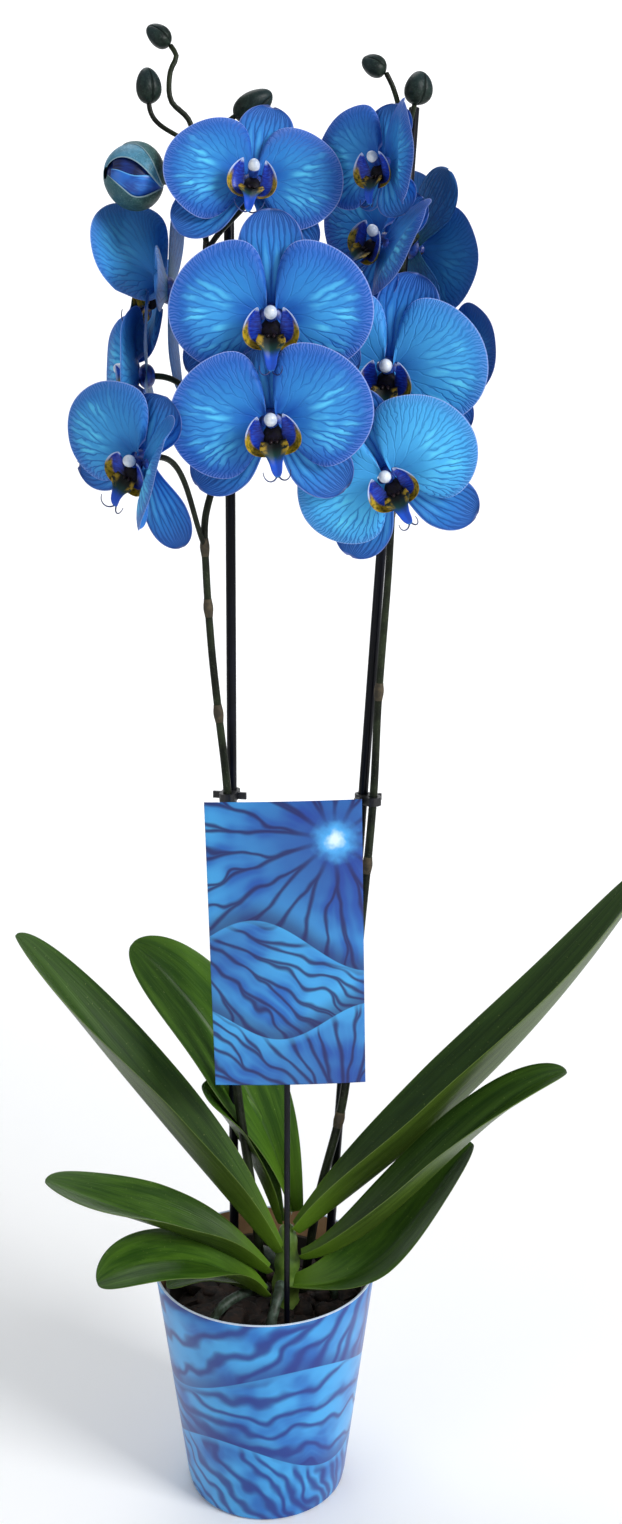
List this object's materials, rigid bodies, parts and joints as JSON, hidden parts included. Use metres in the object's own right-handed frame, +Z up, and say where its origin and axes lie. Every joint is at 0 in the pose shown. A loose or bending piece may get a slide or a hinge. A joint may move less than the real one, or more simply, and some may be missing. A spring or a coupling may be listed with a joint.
{
  "type": "potted moth orchid",
  "caption": "Blue moth orchid with two arching flower stems on stakes, broad strap leaves, a plain patterned card on its own thin stake, in a tapered patterned card pot cover.",
  "frame": {"origin": "centre of the pot cover's foot, on the surface it stands on", "axes": "+Z up along the stems, -Y towards the front of the plant, +X to the viewer's right"},
  "size_m": [0.334, 0.1472, 0.7545],
  "materials": {
    "vase_print": "printed card with a satin coat, brown inside",
    "pot_plastic": "thin dark plastic",
    "bark": "rough chips",
    "root": "waxy living root",
    "crown": "smooth living sheath",
    "leaf": "soft gloss living leaf",
    "stem": "smooth living stem",
    "stake_plastic": "satin",
    "clip_plastic": "satin",
    "card_print": "printed, satin coat",
    "petal": "soft living petal",
    "lip": "waxy living petal",
    "bud": "soft gloss living bud"
  },
  "bodies": {
    "root": {"bark": "bark", "bloom_01_lip": "lip", "bloom_01_petals": "petal", "bloom_02_lip": "lip", "bloom_02_petals": "petal", "bloom_03_lip": "lip", "bloom_03_petals": "petal", "bloom_04_lip": "lip", "bloom_04_petals": "petal", "bloom_05_lip": "lip", "bloom_05_petals": "petal", "bloom_06_lip": "lip", "bloom_06_petals": "petal", "bloom_07_lip": "lip", "bloom_07_petals": "petal", "bloom_08_lip": "lip", "bloom_08_petals": "petal", "bloom_09_lip": "lip", "bloom_09_petals": "petal", "bloom_10_lip": "lip", "bloom_10_petals": "petal", "bloom_11_lip": "lip", "bloom_11_petals": "petal", "bloom_12_lip": "lip", "bloom_12_petals": "petal", "bud_left_behind": "bud", "bud_left_top": "bud", "bud_left_upper": "bud", "bud_opening": "bud", "bud_right_top": "bud", "bud_right_upper": "bud", "card": "card_print", "card_stake": "stake_plastic", "clip_left": "clip_plastic", "clip_right": "clip_plastic", "crown": "crown", "leaf_left_back": "leaf", "leaf_left_inner": "leaf", "leaf_left_long": "leaf", "leaf_left_low": "leaf", "leaf_left_lowest": "leaf", "leaf_left_small": "leaf", "leaf_right_long": "leaf", "leaf_right_low": "leaf", "leaf_right_middle": "leaf", "nursery_pot": "pot_plastic", "root_back": "root", "root_front": "root", "root_left": "root", "root_right": "root", "stake_left": "stake_plastic", "stake_right": "stake_plastic", "stem_left": "stem", "stem_right": "stem", "vase": "vase_print"}
  },
  "joints": []
}
